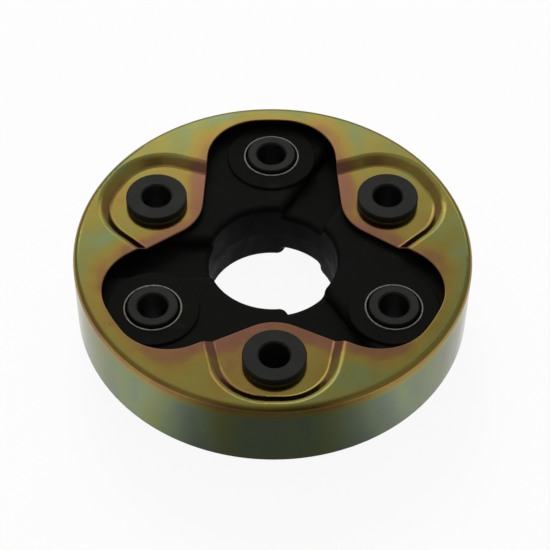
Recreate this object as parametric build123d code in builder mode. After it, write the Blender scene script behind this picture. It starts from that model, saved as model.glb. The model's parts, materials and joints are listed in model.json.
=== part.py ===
from build123d import *

import os
from math import cos, radians, sin, sqrt, tan

# Flexible disc coupling with a pressed steel cover, in millimetres.
# The origin is on the axis at the middle of the rubber disc's height.
# +Z points out through the covered face.
# +Y points through the middle of one lobe of the cover's cut-out.

os.makedirs("parts", exist_ok=True)

# How closely a face, edge or corner is matched when it is picked by its place
match = 0.01

# Bolt stations: every second sleeve belongs to the same flange
station_count = 6
bolt_circle_radius = 55.0
bolt_diameter = 12.0
bolt_clearance = 0.2
first_collared_angle = 30.0

# Rubber disc
disc_thickness = 29.7
disc_margin = 20.6
disc_edge_radius = 1.6
boss_radius = 18.6
boss_rise = 1.0
boss_edge_radius = 0.8
bore_radius = 26.2
bore_draft = 0.7
bore_edge_radius = 2.6
bore_ridge_radius = 3.0
pocket_depth = 4.5
pocket_width = 18.0
pocket_shoulder_radius = 3.5
pocket_corner_radius = 0.6

# Steel sleeves
shank_radius = 10.0
collar_radius = 12.5
collar_thickness = 3.8
flush_end_setback = 3.75
sleeve_edge_chamfer = 0.4
sleeve_mouth_chamfer = 0.6

# Guide rings pressed from thin steel strip
ring_strip = 0.85
ring_gap = 0.85
ring_flange_width = 5.75
ring_lip_rise = 0.4
ring_edge_radius = 0.3

# Loops of wound cord
cord_build_up = 6.5
thick_loop_height = 12.0
thin_loop_height = 6.0
loop_spacing = 0.6

# Pressed steel cover
sheet = 1.6
cover_depth = 32.7
cover_wall_gap = 3.2
cover_fold_radius = 2.5
rim_land = 0.25
pad_depth = 2.7
pad_end_half_width = 18.0
pad_splay = 11.6
pad_corner_radius = 18.6
pad_step_angle = 34.0
pad_fold_radius = 2.4
pad_hole_clearance = 0.2
lobe_rim = 8.05
lobe_end_half_flat = 6.2
lobe_splay = 3.95
nose_radius = 19.15
cut_edge_radius = 0.45

# Heights above the middle of the disc
disc_top = disc_thickness / 2
boss_top = disc_top + boss_rise
pad_top = boss_top + sheet
rim_top = pad_top + pad_depth
collar_face = pad_top + collar_thickness
flush_end = collar_face - flush_end_setback
skirt_bottom = rim_top - cover_depth
pocket_floor = disc_top - pocket_depth
thin_loop_bottom = thick_loop_height / 2 + loop_spacing
thin_loop_top = thin_loop_bottom + thin_loop_height
ring_flange_bottom = thin_loop_top + loop_spacing
ring_flange_top = ring_flange_bottom + ring_strip
ring_lip_top = boss_top + ring_lip_rise

# Angles round the axis
pitch = 360 / station_count
flange_bolts = station_count // 2
collared_angles = [first_collared_angle + 2 * pitch * step for step in range(flange_bolts)]
flush_angles = [angle + pitch for angle in collared_angles]
flank_slope = 90 - pitch - lobe_splay

# Radii and distances in plan
sleeve_bore_radius = (bolt_diameter + bolt_clearance) / 2
ring_inner_radius = shank_radius + ring_gap
ring_neck_radius = ring_inner_radius + ring_strip
ring_flange_radius = ring_inner_radius + ring_flange_width
cord_outer_radius = shank_radius + cord_build_up
disc_radius = bolt_circle_radius + disc_margin
pair_distance = bolt_circle_radius * cos(radians(pitch / 2))
pair_half_spacing = bolt_circle_radius * sin(radians(pitch / 2))
cover_radius = disc_radius + cover_wall_gap + sheet
pad_step_width = pad_depth / tan(radians(pad_step_angle))
fold_shift = sheet * tan(radians(pad_step_angle / 2))
pad_fold_width = (pad_fold_radius + sheet) * tan(radians(pad_step_angle / 2))
pad_corner_reach = cover_radius - cover_fold_radius - rim_land - pad_fold_width - pad_step_width
pad_corner_offset = pad_end_half_width - pad_corner_radius * tan(radians(45 - pad_splay / 2))
pad_corner_distance = pad_corner_reach - pad_corner_radius
pad_reach = pad_corner_radius + sqrt(pad_corner_distance**2 - pad_corner_offset**2)
lobe_reach = cover_radius - lobe_rim
lobe_corner_radius = bolt_circle_radius * sin(radians(pitch)) - nose_radius - lobe_end_half_flat
nose_tip = bolt_circle_radius - nose_radius / cos(radians(flank_slope))
wedge_length = 2 * lobe_reach
wedge_spread = wedge_length / tan(radians(flank_slope))


def distance_from_axis(point):
    """How far a point lies from the coupling's axis."""
    return Vector(point.X, point.Y, 0).length


def on_station(piece, angle):
    """The piece, made on the axis, moved out to the sleeve station at this angle."""
    return Rot(0, 0, angle) * Pos(bolt_circle_radius, 0, 0) * piece


def on_far_face(piece):
    """The piece turned over, so that what faced the cover faces away from it."""
    return Rot(180, 0, 0) * piece


def save(piece, name):
    """Labels a finished piece and writes it to its own file."""
    piece.label = name
    export_step(piece, f"parts/{name}.step")


# Steel sleeve on the axis, with its collar at the top
with BuildPart() as sleeve:
    with BuildSketch(Plane.XZ):
        with BuildLine():
            Polyline(
                (sleeve_bore_radius, -flush_end),
                (shank_radius, -flush_end),
                (shank_radius, pad_top),
                (collar_radius, pad_top),
                (collar_radius, collar_face),
                (sleeve_bore_radius, collar_face),
                close=True,
            )
        make_face()
    revolve(axis=Axis.Z)
    circles_by_radius = sleeve.edges().filter_by(GeomType.CIRCLE).group_by(SortBy.RADIUS)
    chamfer(circles_by_radius[0], sleeve_mouth_chamfer)
    chamfer(circles_by_radius[-1], sleeve_edge_chamfer)
    chamfer(sleeve.faces().sort_by(Axis.Z)[0].outer_wire().edges(), sleeve_edge_chamfer)


def guide_ring(neck_end):
    """L-shaped ring on the axis: a flange that holds the cord, and a neck that ends at this height."""
    with BuildPart() as ring:
        with BuildSketch(Plane.XZ) as section:
            with BuildLine():
                Polyline(
                    (ring_inner_radius, ring_flange_bottom),
                    (ring_flange_radius, ring_flange_bottom),
                    (ring_flange_radius, ring_flange_top),
                    (ring_neck_radius, ring_flange_top),
                    (ring_neck_radius, neck_end),
                    (ring_inner_radius, neck_end),
                    close=True,
                )
            make_face()
            fillet(section.vertices().group_by(Axis.Y)[-1], ring_edge_radius)
        revolve(axis=Axis.Z)
    return ring.part


def cord_loop(height, middle):
    """Loop wound round the two sleeves either side of the +X axis, its middle at this height."""
    with BuildPart() as loop:
        with BuildSketch(Plane.XY.offset(middle - height / 2)):
            with Locations((pair_distance, 0)):
                SlotCenterToCenter(2 * pair_half_spacing, 2 * cord_outer_radius, rotation=90)
                SlotCenterToCenter(2 * pair_half_spacing, 2 * shank_radius, rotation=90, mode=Mode.SUBTRACT)
        extrude(amount=height)
    return loop.part


# Space of one pocket along the +X axis: a channel whose sides are rounded over at the top
with BuildPart() as pocket:
    with BuildSketch(Plane.YZ) as channel:
        with BuildLine():
            shoulder_middle = pocket_width / 2 + pocket_shoulder_radius
            shoulder = CenterArc(
                (shoulder_middle, disc_top - pocket_shoulder_radius), pocket_shoulder_radius, 90, 90
            )
            Polyline(
                shoulder @ 1,
                (pocket_width / 2, pocket_floor),
                (0, pocket_floor),
                (0, boss_top),
                (shoulder_middle, boss_top),
                shoulder @ 0,
            )
        make_face()
        floor_corner = channel.vertices().sort_by_distance((pocket_width / 2, pocket_floor))[0]
        fillet(floor_corner, pocket_corner_radius)
        mirror(about=Plane.YZ)
    extrude(amount=2 * disc_radius)

# Rubber disc, still solid where the steel and the cord will lie
with BuildPart() as disc_block:
    Cylinder(disc_radius, disc_thickness)
    with BuildSketch(Plane.XZ) as bore_section:
        with BuildLine():
            Polyline(
                (0, -disc_top),
                (bore_radius, -disc_top),
                (bore_radius - bore_draft, 0),
                (bore_radius, disc_top),
                (0, disc_top),
                close=True,
            )
        make_face()
        ridge = bore_section.vertices().sort_by_distance((bore_radius - bore_draft, 0))[0]
        fillet(ridge, bore_ridge_radius)
    revolve(axis=Axis.Z, mode=Mode.SUBTRACT)
    for angle in flush_angles:
        pocket_space = Rot(0, 0, angle - pitch / 2) * pocket.part
        add(pocket_space, mode=Mode.SUBTRACT)
        add(on_far_face(pocket_space), mode=Mode.SUBTRACT)
    for walls, edge_radius in (
        (disc_block.faces().filter_by(GeomType.CONE), bore_edge_radius),
        (disc_block.faces().filter_by(GeomType.CYLINDER).sort_by(SortBy.AREA)[-1:], disc_edge_radius),
    ):
        rims = ShapeList(edge for wall in walls for edge in wall.edges())
        fillet(rims.filter_by(lambda edge: abs(edge.center().Z) > pocket_floor / 2), edge_radius)
    for face_turn in (0, 180):
        with BuildSketch(Plane.XY.rotated((face_turn, 0, 0)).offset(pocket_floor / 2)):
            with PolarLocations(bolt_circle_radius, station_count, start_angle=first_collared_angle):
                Circle(boss_radius)
        extrude(amount=boss_top - pocket_floor / 2)
    boss_rims = disc_block.edges().filter_by(GeomType.CIRCLE).group_by(Axis.Z)
    fillet(boss_rims[0] + boss_rims[-1], boss_edge_radius)

# Room on the axis for one sleeve, widened above the flange of a guide ring to the inside of its neck
with BuildPart() as plain_hole:
    Cylinder(shank_radius, 2 * boss_top)
with BuildPart() as upper_moat:
    with BuildSketch(Plane.XY.offset(ring_flange_top)):
        Circle(ring_inner_radius)
    extrude(amount=boss_top - ring_flange_top)

# Steel and cord pieces at their places round the disc
upper_sleeves = [on_station(sleeve.part, angle) for angle in collared_angles]
lower_sleeves = [on_station(on_far_face(sleeve.part), angle) for angle in flush_angles]
lip_ring = guide_ring(ring_lip_top)
collar_ring = guide_ring(pad_top)
upper_rings = [on_station(lip_ring, angle) for angle in flush_angles]
lower_rings = [on_station(on_far_face(lip_ring), angle) for angle in collared_angles]
lower_rings += [on_station(on_far_face(collar_ring), angle) for angle in flush_angles]
holes = [on_station(plain_hole.part, angle) for angle in collared_angles + flush_angles]
holes += [on_station(upper_moat.part, angle) for angle in flush_angles]
holes += [on_station(on_far_face(upper_moat.part), angle) for angle in collared_angles + flush_angles]
thick_loop = cord_loop(thick_loop_height, 0)
thin_loop = cord_loop(thin_loop_height, (thin_loop_bottom + thin_loop_top) / 2)
thick_loops = [Rot(0, 0, angle - pitch / 2) * thick_loop for angle in flush_angles]
upper_loops = [Rot(0, 0, angle + pitch / 2) * thin_loop for angle in flush_angles]
lower_loops = [Rot(0, 0, angle + pitch / 2) * on_far_face(thin_loop) for angle in flush_angles]

# Rubber disc, moulded round the sleeves, the rings and the cord
with BuildPart() as rubber_disc:
    add(disc_block.part)
    for buried in holes + upper_rings + lower_rings:
        add(buried, mode=Mode.SUBTRACT)
    for buried in thick_loops + upper_loops + lower_loops:
        add(buried, mode=Mode.SUBTRACT)

# Cut-out of the cover: a circle with three rounded noses that reach in round the collared sleeves
with BuildSketch(Plane.XY.offset(pad_top - 2 * sheet)) as cut_out:
    Circle(lobe_reach)
    with PolarLocations(nose_tip, flange_bolts, start_angle=first_collared_angle):
        Polygon(
            (0, 0),
            (wedge_length, wedge_spread),
            (wedge_length, -wedge_spread),
            align=None,
            mode=Mode.SUBTRACT,
        )
    fillet(cut_out.vertices().sort_by(distance_from_axis)[:flange_bolts], nose_radius)
    lobe_corners = cut_out.vertices().filter_by(
        lambda corner: distance_from_axis(corner) > lobe_reach - match
    )
    fillet(lobe_corners, lobe_corner_radius)


def pad_outline(height, growth):
    """Outline of the pad on the +X axis at this height, larger all round by this growth than its flat."""
    inner_half_width = pad_end_half_width + (pad_reach - nose_tip) * tan(radians(pad_splay))
    with BuildSketch(Plane.XY.offset(height)) as outline:
        Polygon(
            (nose_tip, -inner_half_width),
            (pad_reach, -pad_end_half_width),
            (pad_reach, pad_end_half_width),
            (nose_tip, inner_half_width),
            align=None,
        )
        fillet(outline.vertices().group_by(Axis.X)[-1], pad_corner_radius)
        if growth:
            offset(amount=growth)
    return outline.sketch


# Pressing of one pad on the +X axis: what the punch pushes in above, and what it pushes out below
with BuildPart() as pad_hollow:
    loft([pad_outline(pad_top, 0), pad_outline(rim_top, pad_step_width)], ruled=True)
with BuildPart() as pad_swelling:
    lower_outline = pad_outline(pad_top - sheet, fold_shift)
    loft([lower_outline, pad_outline(rim_top - sheet, fold_shift + pad_step_width)], ruled=True)

# Steel cover, pressed from one sheet
with BuildPart() as steel_cover:
    with BuildSketch(Plane.XZ) as cup_section:
        with BuildLine():
            Polyline(
                (0, rim_top),
                (cover_radius, rim_top),
                (cover_radius, skirt_bottom),
                (cover_radius - sheet, skirt_bottom),
                (cover_radius - sheet, rim_top - sheet),
                (0, rim_top - sheet),
                close=True,
            )
        make_face()
        outer_corner = cup_section.vertices().sort_by_distance((cover_radius, rim_top))[0]
        fillet(outer_corner, cover_fold_radius)
        inner_corner = cup_section.vertices().sort_by_distance((cover_radius - sheet, rim_top - sheet))[0]
        fillet(inner_corner, cover_fold_radius - sheet)
    revolve(axis=Axis.Z)
    for angle in collared_angles:
        add(Rot(0, 0, angle) * pad_swelling.part)
        add(Rot(0, 0, angle) * pad_hollow.part, mode=Mode.SUBTRACT)
    extrude(cut_out.sketch, amount=4 * sheet, mode=Mode.SUBTRACT)
    for height, radius in (
        (pad_top, pad_fold_radius),
        (pad_top - sheet, pad_fold_radius + sheet),
        (rim_top, pad_fold_radius + sheet),
        (rim_top - sheet, pad_fold_radius),
    ):
        slopes = steel_cover.faces().filter_by(
            lambda face: abs(abs(face.normal_at().Z) - cos(radians(pad_step_angle))) < match
        )
        slope_edges = ShapeList(edge for slope in slopes for edge in slope.edges())
        fillet(slope_edges.filter_by_position(Axis.Z, height - match, height + match), radius)
    cut_walls = steel_cover.faces().filter_by(
        lambda face: abs(face.normal_at().Z) < match
        and distance_from_axis(face.center()) < lobe_reach + match
    )
    upper_faces = steel_cover.faces().filter_by(lambda face: face.normal_at().Z > match)
    fillet(cut_walls.edges() & upper_faces.edges(), cut_edge_radius)
    with BuildSketch(Plane.XY.offset(pad_top - 2 * sheet)):
        with PolarLocations(bolt_circle_radius, flange_bolts, start_angle=first_collared_angle):
            Circle(shank_radius + pad_hole_clearance)
    extrude(amount=4 * sheet, mode=Mode.SUBTRACT)

save(steel_cover.part, "steel_cover")
save(rubber_disc.part, "rubber_disc")
for pieces, name in (
    (upper_sleeves, "upper_sleeve"),
    (lower_sleeves, "lower_sleeve"),
    (upper_rings, "upper_guide_ring"),
    (lower_rings, "lower_guide_ring"),
    (thick_loops, "thick_cord_loop"),
    (upper_loops, "upper_cord_loop"),
    (lower_loops, "lower_cord_loop"),
):
    for number, piece in enumerate(pieces, start=1):
        save(piece, f"{name}_{number}")
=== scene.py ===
# %% [markdown]
# # A flexible disc coupling in a plated steel cover
# The coupling joins two shafts whose ends are slightly out of line. A rubber disc holds six steel
# sleeves, and a shallow pressed steel cover closes one face of it. The solids come finished from the
# frame, at their real size. This lesson gives each of them its surface, and then sets up the floor,
# the light and the camera.

# %% Load the frame
import json
import math

import bpy
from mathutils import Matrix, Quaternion, Vector


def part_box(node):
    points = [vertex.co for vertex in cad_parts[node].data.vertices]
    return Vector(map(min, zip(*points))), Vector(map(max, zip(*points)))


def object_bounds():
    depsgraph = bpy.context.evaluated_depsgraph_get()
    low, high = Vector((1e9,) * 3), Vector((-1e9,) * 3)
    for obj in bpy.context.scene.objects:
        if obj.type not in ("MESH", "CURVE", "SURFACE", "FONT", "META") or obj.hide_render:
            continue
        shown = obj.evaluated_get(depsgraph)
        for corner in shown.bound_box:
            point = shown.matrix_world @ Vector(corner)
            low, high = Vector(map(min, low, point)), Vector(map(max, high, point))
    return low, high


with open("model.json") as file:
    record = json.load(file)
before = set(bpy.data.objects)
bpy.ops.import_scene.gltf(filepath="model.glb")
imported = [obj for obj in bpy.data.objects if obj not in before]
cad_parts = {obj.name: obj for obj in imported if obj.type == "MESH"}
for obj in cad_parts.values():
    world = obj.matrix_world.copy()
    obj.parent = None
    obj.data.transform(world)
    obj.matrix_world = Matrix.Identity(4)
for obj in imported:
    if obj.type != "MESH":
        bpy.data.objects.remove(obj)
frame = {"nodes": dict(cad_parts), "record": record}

scene = bpy.context.scene
cad_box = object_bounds()
print("pieces in the frame:", len(frame["nodes"]))

# %% [markdown]
# ## Sizes that the looks need
# Blender works in metres and the patterns on the surfaces are easier to think of in millimetres.
# Most sizes are read from the frame: the cover's box gives its radius and its two faces, and the
# record gives the bolt circle. Only the form of the cut-out has to be repeated here, because the
# plating's colour follows the distance from that edge.

# %% Sizes
MM = 0.001
cover_low, cover_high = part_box("steel_cover")
cover_radius = (cover_high[0] - cover_low[0]) / 2
rim_top = cover_high[2]
lowest = cad_box[0][2]
bolt_pattern = next(m for m in frame["record"]["mounts"] if m["kind"] == "bolt_pattern")
bolt_circle_radius = bolt_pattern["dims"]["pcd_mm"] * MM / 2
station_pitch = math.radians(60)
first_station = math.radians(30)
lobe_rim = 8.05 * MM
nose_radius = 19.15 * MM
flank_half_angle = math.radians(63.95)
lobe_reach = cover_radius - lobe_rim
nose_tip = bolt_circle_radius - nose_radius / math.sin(flank_half_angle)
print("cover radius", round(cover_radius / MM, 1), "mm")
print("tip of the unrounded nose", round(nose_tip / MM, 1), "mm from the axis")

# %% [markdown]
# ## A few helpers
# Colours are written as sRGB hex values, the way a paint program shows them. A shader counts light,
# so it needs them linear, and one function does that. A second one adds a node to a node tree with
# its settings and its links, so that each material below reads as a list of what feeds what. The
# others fill a colour ramp, start and end a material, and turn a point to the part's first sleeve.


# %% Helpers
def srgb(code):
    """The linear red, green, blue and alpha of a colour such as #8c8040."""
    shares = [int(code[place : place + 2], 16) / 255 for place in (1, 3, 5)]
    return [s / 12.92 if s <= 0.04045 else ((s + 0.055) / 1.055) ** 2.4 for s in shares] + [1.0]


def add(tree, kind, inputs=None, **settings):
    """Adds one node. Each input is a plain value, a socket, or a node whose first output is meant."""
    made = tree.nodes.new(kind)
    for name, value in settings.items():
        setattr(made, name, value)
    for socket, value in (inputs or {}).items():
        if isinstance(value, bpy.types.Node):
            value = value.outputs[0]
        if isinstance(value, bpy.types.NodeSocket):
            tree.links.new(value, made.inputs[socket])
        else:
            made.inputs[socket].default_value = value
    return made


def colour_stops(ramp_node, stops):
    """Puts the stops on a colour ramp, given as {place: hex colour} or as {place: grey level}."""
    elements = ramp_node.color_ramp.elements
    while len(elements) > 1:
        elements.remove(elements[0])
    for number, (place, shade) in enumerate(sorted(stops.items())):
        element = elements[0] if number == 0 else elements.new(place)
        element.position = place
        element.color = srgb(shade) if isinstance(shade, str) else [shade] * 3 + [1.0]
    return ramp_node


def start_material(name):
    """An empty material, its node tree, and the object's coordinates in millimetres."""
    material = bpy.data.materials.new(name)
    material.use_nodes = True
    tree = material.node_tree
    tree.nodes.clear()
    place = add(tree, "ShaderNodeTexCoord").outputs["Object"]
    in_mm = add(tree, "ShaderNodeVectorMath", {0: place, "Scale": 1 / MM}, operation="SCALE")
    return material, tree, in_mm


def end_material(tree, surface):
    """Links the finished surface to the material's output."""
    add(tree, "ShaderNodeOutputMaterial", {"Surface": surface})


def at_first_station(tree, parts, half_sector):
    """Wraps the angle round the axis to one sector, half_sector to each side of the first sleeve.

    Gives the distance from the axis, and how much of it lies along and across the sector's middle."""
    flat = add(tree, "ShaderNodeCombineXYZ", {0: parts.outputs["X"], 1: parts.outputs["Y"]})
    reach = add(tree, "ShaderNodeVectorMath", {0: flat}, operation="LENGTH").outputs["Value"]
    angle = add(
        tree, "ShaderNodeMath", {0: parts.outputs["Y"], 1: parts.outputs["X"]}, operation="ARCTAN2"
    )
    turned = add(tree, "ShaderNodeMath", {0: angle, 1: first_station}, operation="SUBTRACT")
    wrapped = add(
        tree, "ShaderNodeMath", {0: turned, 1: half_sector, 2: -half_sector}, operation="WRAP"
    )
    cosine = add(tree, "ShaderNodeMath", {0: wrapped}, operation="COSINE")
    sine = add(tree, "ShaderNodeMath", {0: wrapped}, operation="SINE")
    along = add(tree, "ShaderNodeMath", {0: reach, 1: cosine}, operation="MULTIPLY")
    across = add(tree, "ShaderNodeMath", {0: reach, 1: sine}, operation="MULTIPLY")
    return reach, along, across


print("red of #8c8040 as light:", round(srgb("#8c8040")[0], 3))

# %% [markdown]
# ## The plated cover
# The cover is deep-drawn steel, zinc plated and dipped in yellow chromate. The chromate film is
# thinner than a wave of light is long, so it shows oil colours: pinkish copper where it is thin,
# then gold, olive and a greyish green where it is thick. The bath drains off the edges and folds
# first and leaves a thinner film there, so the colour bands run along the cut-out's edge.
#
# An image could carry such bands, but the distance from the edge can also be worked out in the
# material. The cut-out is three-fold, so the angle is wrapped onto one nose, and there the edge is
# just two straight flanks and a circle. The film is a little thicker all along the lobes' ends, so
# the circle counts as some millimetres further off. The distance plus a cloudy noise picks a colour
# from a ramp.


# %% Distance from the cut-out's edge
def edge_distance(tree, in_mm):
    """How far a point of the cover lies from the cut-out's edge, in millimetres, seen along the axis."""
    thicker_at_lobe = 5.0
    corner_blend = 8.0
    parts = add(tree, "ShaderNodeSeparateXYZ", {0: in_mm})
    reach, along, across = at_first_station(tree, parts, station_pitch)
    side = add(tree, "ShaderNodeMath", {0: across}, operation="ABSOLUTE")
    past_tip = add(tree, "ShaderNodeMath", {0: along, 1: nose_tip / MM}, operation="SUBTRACT")
    inward = add(
        tree, "ShaderNodeMath", {0: past_tip, 1: math.sin(flank_half_angle)}, operation="MULTIPLY"
    )
    outward = add(
        tree, "ShaderNodeMath", {0: side, 1: math.cos(flank_half_angle)}, operation="MULTIPLY"
    )
    from_flank = add(tree, "ShaderNodeMath", {0: inward, 1: outward}, operation="SUBTRACT")
    from_lobe = add(
        tree, "ShaderNodeMath", {0: reach, 1: lobe_reach / MM - thicker_at_lobe}, operation="SUBTRACT"
    )
    return add(
        tree, "ShaderNodeMath", {0: from_flank, 1: from_lobe, 2: corner_blend}, operation="SMOOTH_MAX"
    )


# %% [markdown]
# The film's thickness is that distance plus two clouds of noise, one as wide as a thumb and one as
# wide as a pea. It is less on the slopes of the pads' steps and on the rim's fold, where the surface's
# normal leans over, and on the set-down pads, which drain through the cut-out. It is a little more
# towards the far side, where the last of the bath ran off. On the upright skirt the clouds are
# stretched along the axis, and the film is thicker than on the flat faces. Oil colours come round
# again as a film thickens, so the ramp goes on past green to blue-grey, mauve and gold once more. A
# few dark specks, as such plating has, are picked from the rarest cells of a fine cell pattern.
#
# Zinc is a metal, so the base is fully metallic and the ramp's colour tints what it mirrors. The
# film is clear and lies on top, which is what the coat layer is for: it adds the pale glint that the
# real part shows where it is seen at a flat angle.

# %% Yellow chromate on zinc plated steel
film_clouds_mm = 26.0
film_streaks_mm = 9.0
peel_mm = 1.3
grain_mm = 0.35
speck_mm = 2.2
speck_rarity = 0.985
speck_reach = 0.12
far_side_mm = 80.0
run_down_stretch = (1.0, 1.0, 0.4)

plating, tree, in_mm = start_material("yellow_chromate_zinc_plate")
distance = edge_distance(tree, in_mm)
run_down = add(tree, "ShaderNodeVectorMath", {0: in_mm, 1: run_down_stretch}, operation="MULTIPLY")
clouds = add(
    tree,
    "ShaderNodeTexNoise",
    {"Vector": run_down, "Scale": 1 / film_clouds_mm, "Detail": 1.0, "Roughness": 0.4, "Distortion": 0.2},
)
streaks = add(
    tree,
    "ShaderNodeTexNoise",
    {"Vector": run_down, "Scale": 1 / film_streaks_mm, "Detail": 2.0, "Roughness": 0.5},
)
from_edge = add(
    tree,
    "ShaderNodeMapRange",
    {"Value": distance, "From Min": 0.5, "From Max": 11.0, "To Min": -0.15, "To Max": 0.09},
    interpolation_type="SMOOTHSTEP",
)
normal = add(tree, "ShaderNodeNewGeometry").outputs["Normal"]
lean = add(tree, "ShaderNodeSeparateXYZ", {0: normal})
on_slope = add(
    tree,
    "ShaderNodeMapRange",
    {"Value": lean.outputs["Z"], "From Min": 0.99, "From Max": 0.85, "To Min": 0.0, "To Max": -0.1},
)
place = add(tree, "ShaderNodeSeparateXYZ", {0: in_mm})
towards_far = add(
    tree,
    "ShaderNodeMapRange",
    {
        "Value": place.outputs["Y"],
        "From Min": -far_side_mm,
        "From Max": far_side_mm,
        "To Min": -0.01,
        "To Max": 0.05,
    },
)
cloud_share = add(
    tree,
    "ShaderNodeMapRange",
    {"Value": clouds, "From Min": 0.25, "From Max": 0.75, "To Min": 0.1, "To Max": 0.28},
)
streak_share = add(
    tree,
    "ShaderNodeMapRange",
    {"Value": streaks, "From Min": 0.3, "From Max": 0.7, "To Min": -0.04, "To Max": 0.04},
)
on_pad = add(
    tree,
    "ShaderNodeMapRange",
    {
        "Value": place.outputs["Z"],
        "From Min": rim_top / MM - 0.5,
        "From Max": rim_top / MM - 2.5,
        "To Min": 0.0,
        "To Max": -0.075,
    },
)
run_off = add(
    tree,
    "ShaderNodeMapRange",
    {
        "Value": place.outputs["Z"],
        "From Min": rim_top / MM - 2.8,
        "From Max": rim_top / MM - 7.0,
        "To Min": 0.0,
        "To Max": 0.35,
    },
)
thickness = from_edge
for share in (on_slope, towards_far, cloud_share, streak_share, on_pad, run_off):
    thickness = add(tree, "ShaderNodeMath", {0: thickness, 1: share}, operation="ADD")
film = colour_stops(
    add(tree, "ShaderNodeValToRGB", {0: thickness}),
    {
        0.0: "#8a5c42",
        0.08: "#8b6539",
        0.17: "#957a32",
        0.27: "#8e8236",
        0.36: "#808448",
        0.44: "#788862",
        0.52: "#6c7a6c",
        0.62: "#667274",
        0.72: "#726c70",
        0.82: "#84704e",
        0.92: "#7c7a48",
        1.0: "#6a7a60",
    },
)
specks = add(
    tree,
    "ShaderNodeTexVoronoi",
    {"Vector": in_mm, "Scale": 1 / speck_mm, "Randomness": 1.0},
    feature="F1",
)
speck_pick = add(tree, "ShaderNodeSeparateColor", {0: specks.outputs["Color"]})
rare = add(tree, "ShaderNodeMath", {0: speck_pick, 1: speck_rarity}, operation="GREATER_THAN")
near = add(
    tree, "ShaderNodeMath", {0: specks.outputs["Distance"], 1: speck_reach}, operation="LESS_THAN"
)
speck = add(tree, "ShaderNodeMath", {0: rare, 1: near}, operation="MULTIPLY")
specked = add(
    tree,
    "ShaderNodeMix",
    {"Factor": speck, 6: film.outputs["Color"], 7: srgb("#3a3320")},
    data_type="RGBA",
)
dulling = add(
    tree,
    "ShaderNodeMapRange",
    {"Value": streaks, "From Min": 0.3, "From Max": 0.7, "To Min": 0.13, "To Max": 0.2},
)
# A shallow swell and a fine grain break the mirror images up a little, as on any dipped plating.
peel = add(tree, "ShaderNodeTexNoise", {"Vector": in_mm, "Scale": 1 / peel_mm, "Detail": 2.0})
grain = add(tree, "ShaderNodeTexNoise", {"Vector": in_mm, "Scale": 1 / grain_mm, "Detail": 3.0})
peel_bump = add(
    tree, "ShaderNodeBump", {"Height": peel, "Strength": 0.12, "Distance": 0.02 * MM}
)
plate_bump = add(
    tree,
    "ShaderNodeBump",
    {"Height": grain, "Strength": 0.15, "Distance": 0.006 * MM, "Normal": peel_bump},
)
plate = add(
    tree,
    "ShaderNodeBsdfPrincipled",
    {
        "Base Color": specked.outputs[2],
        "Metallic": 1.0,
        "Roughness": dulling,
        "Normal": plate_bump,
        "Specular Tint": srgb("#d2cec2"),
        "Coat Weight": 0.35,
        "Coat Roughness": 0.14,
        "Coat IOR": 1.6,
    },
)
end_material(tree, plate)
print("film colours:", len(film.color_ramp.elements), "stops over clouds of", film_clouds_mm, "mm")

# %% [markdown]
# ## The sleeves
# The sleeves are turned steel with a manganese phosphate coat: a dark grey skin of tiny crystals
# that holds oil. It looks matt from afar and has a soft gleam at a flat angle. The lathe left fine
# rings round each sleeve's own axis. All six share one material, so the angle round the coupling is
# wrapped onto one station first, and the distance from that station's middle gives the rings. A thin
# pale band is painted along the collar's lowest edge. It is a painted highlight that stands for the glint
# of that edge.

# %% Phosphated turned steel
crystal_mm = 0.3
handling_mm = 7.0
lathe_feed_mm = 0.45
collar_thickness_mm = 3.8
shank_clear_mm = 11.5
painted_highlight_mm = 0.5
seat_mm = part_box("upper_sleeve_1")[1][2] / MM - collar_thickness_mm

phosphate, tree, in_mm = start_material("phosphated_turned_steel")
parts = add(tree, "ShaderNodeSeparateXYZ", {0: in_mm})
reach, along, across = at_first_station(tree, parts, station_pitch / 2)
from_middle = add(
    tree, "ShaderNodeMath", {0: along, 1: bolt_circle_radius / MM}, operation="SUBTRACT"
)
local = add(tree, "ShaderNodeCombineXYZ", {0: from_middle, 1: across})
local_reach = add(tree, "ShaderNodeVectorMath", {0: local}, operation="LENGTH").outputs["Value"]
lathe_turns = add(
    tree, "ShaderNodeMath", {0: local_reach, 1: math.tau / lathe_feed_mm}, operation="MULTIPLY"
)
lathe_rings = add(tree, "ShaderNodeMath", {0: lathe_turns}, operation="SINE")
crystals = add(
    tree, "ShaderNodeTexNoise", {"Vector": in_mm, "Scale": 1 / crystal_mm, "Detail": 4.0, "Roughness": 0.6}
)
handling = add(tree, "ShaderNodeTexNoise", {"Vector": in_mm, "Scale": 1 / handling_mm, "Detail": 2.0})
skin = colour_stops(
    add(tree, "ShaderNodeValToRGB", {0: crystals}),
    {0.3: "#1b1b19", 0.5: "#242422", 0.72: "#31312e"},
)
# Painted highlight: a thin pale band on the collar's lowest edge, just above the face that it presses on.
height = add(tree, "ShaderNodeMath", {0: parts.outputs["Z"]}, operation="ABSOLUTE")
at_seat = add(
    tree, "ShaderNodeMath", {0: height, 1: seat_mm + painted_highlight_mm / 2, 2: painted_highlight_mm / 2}, operation="COMPARE"
)
on_collar = add(
    tree, "ShaderNodeMath", {0: local_reach, 1: shank_clear_mm}, operation="GREATER_THAN"
)
painted_highlight_band = add(tree, "ShaderNodeMath", {0: at_seat, 1: on_collar}, operation="MULTIPLY")
skin_and_painted_highlight = add(
    tree,
    "ShaderNodeMix",
    {"Factor": painted_highlight_band, 6: skin.outputs["Color"], 7: srgb("#b4b1a4")},
    data_type="RGBA",
)
skin_gleam = add(
    tree,
    "ShaderNodeMapRange",
    {"Value": handling, "From Min": 0.3, "From Max": 0.7, "To Min": 0.44, "To Max": 0.56},
)
crystal_bump = add(
    tree, "ShaderNodeBump", {"Height": crystals, "Strength": 0.25, "Distance": 0.02 * MM}
)
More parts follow.
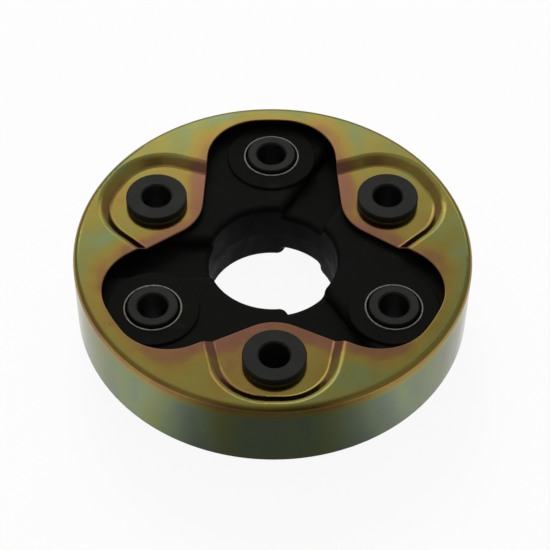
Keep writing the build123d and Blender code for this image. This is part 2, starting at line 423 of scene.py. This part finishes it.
sleeve_bump = add(
    tree,
    "ShaderNodeBump",
    {"Height": lathe_rings, "Strength": 0.12, "Distance": 0.01 * MM, "Normal": crystal_bump},
)
sleeve_skin = add(
    tree,
    "ShaderNodeBsdfPrincipled",
    {
        "Base Color": skin_and_painted_highlight.outputs[2],
        "Metallic": 0.2,
        "Roughness": skin_gleam,
        "Specular IOR Level": 0.25,
        "Normal": sleeve_bump,
    },
)
end_material(tree, sleeve_skin)
print("lathe rings every", lathe_feed_mm, "mm")

# %% [markdown]
# ## The guide rings
# The rings are pressed from thin bright strip that was never plated. Only the edge of the neck shows,
# as a fine silvery line round each flush sleeve. Bare steel mirrors well and dulls a little by touch.

# %% Bright steel strip
rub_mm = 1.5

strip, tree, in_mm = start_material("bright_steel_strip")
rub = add(tree, "ShaderNodeTexNoise", {"Vector": in_mm, "Scale": 1 / rub_mm, "Detail": 4.0})
strip_colour = colour_stops(
    add(tree, "ShaderNodeValToRGB", {0: rub}), {0.3: "#6e6c65", 0.55: "#8c8a81", 0.8: "#a5a398"}
)
strip_gleam = add(
    tree,
    "ShaderNodeMapRange",
    {"Value": rub, "From Min": 0.3, "From Max": 0.7, "To Min": 0.34, "To Max": 0.5},
)
strip_bump = add(tree, "ShaderNodeBump", {"Height": rub, "Strength": 0.1, "Distance": 0.01 * MM})
strip_steel = add(
    tree,
    "ShaderNodeBsdfPrincipled",
    {"Base Color": strip_colour, "Metallic": 1.0, "Roughness": strip_gleam, "Normal": strip_bump},
)
end_material(tree, strip_steel)
print("rubbed patches", rub_mm, "mm wide on bare steel")

# %% [markdown]
# ## The rubber
# The disc is black natural rubber, moulded in a steel mould. Its skin is smooth with a satin gleam
# that changes in soft patches, where mould release and handling left it duller or shinier. A fine
# grain breaks the gleam up, and a wide shallow unevenness keeps the flat faces from looking milled.

# %% Moulded black rubber
rubber_grain_mm = 0.5
rubber_patch_mm = 11.0

rubber, tree, in_mm = start_material("moulded_black_rubber")
fine = add(tree, "ShaderNodeTexNoise", {"Vector": in_mm, "Scale": 1 / rubber_grain_mm, "Detail": 3.0})
patches = add(
    tree,
    "ShaderNodeTexNoise",
    {"Vector": in_mm, "Scale": 1 / rubber_patch_mm, "Detail": 4.0, "Roughness": 0.6, "Distortion": 0.6},
)
rubber_colour = colour_stops(
    add(tree, "ShaderNodeValToRGB", {0: patches}),
    {0.35: "#0b0c0a", 0.6: "#11120f", 0.75: "#1a1b17"},
)
satin = add(
    tree,
    "ShaderNodeMapRange",
    {"Value": patches, "From Min": 0.3, "From Max": 0.7, "To Min": 0.58, "To Max": 0.78},
)
wide_bump = add(tree, "ShaderNodeBump", {"Height": patches, "Strength": 0.3, "Distance": 0.15 * MM})
rubber_bump = add(
    tree,
    "ShaderNodeBump",
    {"Height": fine, "Strength": 0.2, "Distance": 0.02 * MM, "Normal": wide_bump},
)
rubber_skin = add(
    tree,
    "ShaderNodeBsdfPrincipled",
    {
        "Base Color": rubber_colour,
        "Roughness": satin,
        "Normal": rubber_bump,
        "IOR": 1.3,
        "Specular IOR Level": 0.22,
    },
)
end_material(tree, rubber_skin)
print("rubber patches about", rubber_patch_mm, "mm wide")

# %% [markdown]
# ## The cord loops
# Inside the rubber, polyester cord is wound round each pair of sleeves to carry the pull. The turns
# lie side by side and in layers, so a section shows as fine ridges along the loop. Nothing of it
# shows on the finished part, but the piece gets its true surface all the same: ridges a cord's
# thickness apart, up the loop's side, and the reddish brown of the dip that makes the rubber stick.

# %% Dipped polyester cord
cord_mm = 0.9

cord, tree, in_mm = start_material("dipped_polyester_cord")
turns = add(
    tree,
    "ShaderNodeTexWave",
    {"Vector": in_mm, "Scale": math.tau / 20 / cord_mm, "Distortion": 0.3, "Detail": 1.0},
    wave_type="BANDS",
    bands_direction="Z",
)
cord_colour = colour_stops(
    add(tree, "ShaderNodeValToRGB", {0: turns}), {0.0: "#3a1c12", 0.5: "#6b3a24", 1.0: "#8a5236"}
)
cord_bump = add(tree, "ShaderNodeBump", {"Height": turns, "Strength": 0.6, "Distance": 0.2 * MM})
cord_skin = add(
    tree,
    "ShaderNodeBsdfPrincipled",
    {
        "Base Color": cord_colour,
        "Roughness": 0.8,
        "Normal": cord_bump,
        "Sheen Weight": 0.2,
    },
)
end_material(tree, cord_skin)
print("cord turns", cord_mm, "mm apart")

# %% [markdown]
# ## Give each piece its finish
# A finish goes into the material slot of a frame's piece, and the piece keeps its place and shape.
# The names of the pieces say what they are, so one table of name endings is enough.

# %% Assign the finishes
finishes = {
    "steel_cover": plating,
    "rubber_disc": rubber,
    "_sleeve_": phosphate,
    "_guide_ring_": strip,
    "_cord_loop_": cord,
}
for name, piece in frame["nodes"].items():
    finish = next(material for part_of_name, material in finishes.items() if part_of_name in name)
    piece.data.materials.clear()
    piece.data.materials.append(finish)
print("finished pieces:", len(frame["nodes"]))

# %% [markdown]
# ## The floor
# The coupling rests on three collars on a plain white floor. A shallow disc with many sides would do,
# but a plane is simplest, wide enough that its edge is never in the picture. Its faint mottling is
# too weak to see as a pattern and only keeps it from looking like a blank.
#
# White paper only renders as white under strong light, and that light would wash out the metal. So
# most of the floor's white is its own for the camera, for mirrors and for glass, and the rest is lit
# paper, which keeps the part's shadow. For mirrors, the floor's own white is dimmed in a sector in
# front of the part. This is painted shade that stands in for the part's shadow and the dark side of the
# studio towards the camera. So the front of the skirt mirrors a dark floor, while its two ends mirror the
# white floor beside the part.

# %% Floor
floor_half_width = 4.0
mottling_mm = 40.0
white_share = 0.93
# Painted shade: how far mirrors see the floor's white dimmed in front of the part, and over which angles.
painted_front_shade_level = 0.15
painted_shade_middle = math.cos(math.radians(4))
painted_shade_end = math.cos(math.radians(49))

sides = ((-1, -1), (1, -1), (1, 1), (-1, 1))
corners = [(x * floor_half_width, y * floor_half_width, lowest) for x, y in sides]
floor_mesh = bpy.data.meshes.new("floor")
floor_mesh.from_pydata(corners, [], [(0, 1, 2, 3)])
floor = bpy.data.objects.new("floor", floor_mesh)
scene.collection.objects.link(floor)
paper, tree, in_mm = start_material("white_studio_paper")
fibres = add(tree, "ShaderNodeTexNoise", {"Vector": in_mm, "Scale": 1 / mottling_mm, "Detail": 3.0})
paper_colour = colour_stops(
    add(tree, "ShaderNodeValToRGB", {0: fibres}), {0.3: "#f4f4f3", 0.7: "#f8f8f8"}
)
paper_skin = add(
    tree,
    "ShaderNodeBsdfPrincipled",
    {"Base Color": paper_colour, "Roughness": 0.9, "Specular IOR Level": 0.1},
)
flat = add(tree, "ShaderNodeVectorMath", {0: in_mm, 1: (1.0, 1.0, 0.0)}, operation="MULTIPLY")
way_out = add(tree, "ShaderNodeVectorMath", {0: flat}, operation="NORMALIZE")
frontness = add(tree, "ShaderNodeVectorMath", {0: way_out, 1: (0.0, -1.0, 0.0)}, operation="DOT_PRODUCT")
# Painted shade: as mirrors see it, the floor's own white falls to a low level in a sector in front of the
# part.
mirrored_white_with_painted_shade = add(
    tree,
    "ShaderNodeMapRange",
    {
        "Value": frontness.outputs["Value"],
        "From Min": painted_shade_middle,
        "From Max": painted_shade_end,
        "To Min": painted_front_shade_level,
        "To Max": 1.0,
    },
    interpolation_type="SMOOTHSTEP",
)
ray = add(tree, "ShaderNodeLightPath")
mirrored = add(
    tree,
    "ShaderNodeMath",
    {0: ray.outputs["Is Glossy Ray"], 1: ray.outputs["Is Transmission Ray"]},
    operation="MAXIMUM",
)
shown = add(
    tree, "ShaderNodeMath", {0: ray.outputs["Is Camera Ray"], 1: mirrored}, operation="MAXIMUM"
)
own_white = add(tree, "ShaderNodeMath", {0: shown, 1: white_share}, operation="MULTIPLY")
white_level = add(
    tree, "ShaderNodeMix", {"Factor": mirrored, 2: 1.0, 3: mirrored_white_with_painted_shade}, data_type="FLOAT"
)
white = add(tree, "ShaderNodeEmission", {"Color": srgb("#ffffff"), "Strength": white_level})
paper_mix = add(tree, "ShaderNodeMixShader", {0: own_white, 1: paper_skin, 2: white})
end_material(tree, paper_mix)
floor_mesh.materials.append(paper)
print("floor at", round(lowest / MM, 2), "mm")

# %% [markdown]
# ## The light
# A plated part shows its surroundings more than its own colour, so the surroundings matter most.
# A tall soft panel stands behind the part. The flat faces mirror the dim wall just above it, and only
# the far side catches its upper edge, which is why the part gets darker towards the viewer. The folds
# that lean back mirror the panel and glint, and those that lean forward mirror the ceiling, which
# gets darker all the way to the camera.
#
# So the surroundings are a background shader that depends on the angle of the arch from behind the
# part, over its top, to the camera. They are a little brighter to the left, and level out to a grey
# room at both sides. A disc lamp in the panel's direction lights what is matt, the floor above all,
# and casts the soft shadow. The mirrors already have their panel, so the lamp isn't shown to them.

# %% Studio surroundings
arch_levels = {
    0: 0.25,
    8: 0.35,
    14: 0.6,
    30: 0.8,
    38: 1.2,
    42: 1.75,
    45: 1.65,
    47.5: 0.74,
    50: 0.58,
    57: 0.54,
    70: 0.5,
    85: 0.4,
    100: 0.24,
    116: 0.22,
    135: 0.12,
    180: 0.06,
}
left_gain = 1.2
right_gain = 0.82
gain_change = 0.12
room_level = 0.34
room_start = 0.28
room_full = 0.6
brightest = max(arch_levels.values())

studio = bpy.data.worlds.new("soft_studio")
scene.world = studio
studio.use_nodes = True
tree = studio.node_tree
tree.nodes.clear()
way = add(tree, "ShaderNodeTexCoord").outputs["Generated"]
way_parts = add(tree, "ShaderNodeSeparateXYZ", {0: way})
arch_angle = add(
    tree, "ShaderNodeMath", {0: way_parts.outputs["Z"], 1: way_parts.outputs["Y"]}, operation="ARCTAN2"
)
half_turns = add(tree, "ShaderNodeMath", {0: arch_angle, 1: math.pi}, operation="DIVIDE")
arch = colour_stops(
    add(tree, "ShaderNodeValToRGB", {0: half_turns}),
    {degrees / 180: level / brightest for degrees, level in arch_levels.items()},
)
slant = add(
    tree,
    "ShaderNodeMapRange",
    {
        "Value": way_parts.outputs["X"],
        "From Min": -gain_change,
        "From Max": gain_change,
        "To Min": left_gain * brightest,
        "To Max": right_gain * brightest,
    },
    interpolation_type="SMOOTHSTEP",
)
arch_light = add(tree, "ShaderNodeMath", {0: arch.outputs["Color"], 1: slant}, operation="MULTIPLY")
sideways = add(tree, "ShaderNodeMath", {0: way_parts.outputs["X"]}, operation="ABSOLUTE")
side_share = add(
    tree,
    "ShaderNodeMapRange",
    {"Value": sideways, "From Min": room_start, "From Max": room_full},
    interpolation_type="SMOOTHSTEP",
)
light = add(tree, "ShaderNodeMix", {"Factor": side_share, 2: arch_light, 3: room_level}, data_type="FLOAT")
background = add(tree, "ShaderNodeBackground", {"Color": light, "Strength": 1.0})
add(tree, "ShaderNodeOutputWorld", {"Surface": background})

lamp_distance = 2.0
lamp_elevation = math.radians(42)
lamp_azimuth = math.radians(8)
lamp_width = 0.9
lamp_watts = 24.0
toward = Vector(
    (
        -math.sin(lamp_azimuth) * math.cos(lamp_elevation),
        math.cos(lamp_azimuth) * math.cos(lamp_elevation),
        math.sin(lamp_elevation),
    )
)
lamp_data = bpy.data.lights.new("panel_lamp", "AREA")
lamp_data.shape = "DISK"
lamp_data.size = lamp_width
lamp_data.energy = lamp_watts
lamp = bpy.data.objects.new("panel_lamp", lamp_data)
scene.collection.objects.link(lamp)
lamp.location = toward * lamp_distance
lamp.rotation_mode = "QUATERNION"
lamp.rotation_quaternion = (-toward).to_track_quat("-Z", "Y")
lamp.visible_glossy = False
print("surroundings: up to", brightest, "on the panel, room", room_level)

# %% [markdown]
# ## The camera
# The picture looks down at the part from the front. The lens, the height and the distance were worked
# out from the ellipses that the round pieces make in the picture. The camera looks at a point a
# little in front of the rim's middle, which sets the part slightly above the centre of the frame.

# %% Camera
camera_distance = 740 * MM
camera_elevation = math.radians(49.14)
camera_azimuth = math.radians(-1.25)
camera_roll = math.radians(0.93)
lens_mm = 120.3
aim_aside = 0.68 * MM
aim_in_front = 14.26 * MM
rim_middle = Vector((0.0, 0.0, rim_top))
looked_at = rim_middle + Vector((aim_aside, -aim_in_front, 0.0))
back = Vector(
    (
        math.sin(camera_azimuth) * math.cos(camera_elevation),
        -math.cos(camera_azimuth) * math.cos(camera_elevation),
        math.sin(camera_elevation),
    )
)
camera_data = bpy.data.cameras.new("camera")
camera_data.lens = lens_mm
camera = bpy.data.objects.new("camera", camera_data)
scene.collection.objects.link(camera)
camera.location = rim_middle + back * camera_distance
camera.rotation_mode = "QUATERNION"
straight = (looked_at - camera.location).to_track_quat("-Z", "Y")
camera.rotation_quaternion = straight @ Quaternion((0.0, 0.0, 1.0), camera_roll)
scene.camera = camera
scene.view_settings.view_transform = "Standard"
print("camera at", [round(c, 3) for c in camera.location])
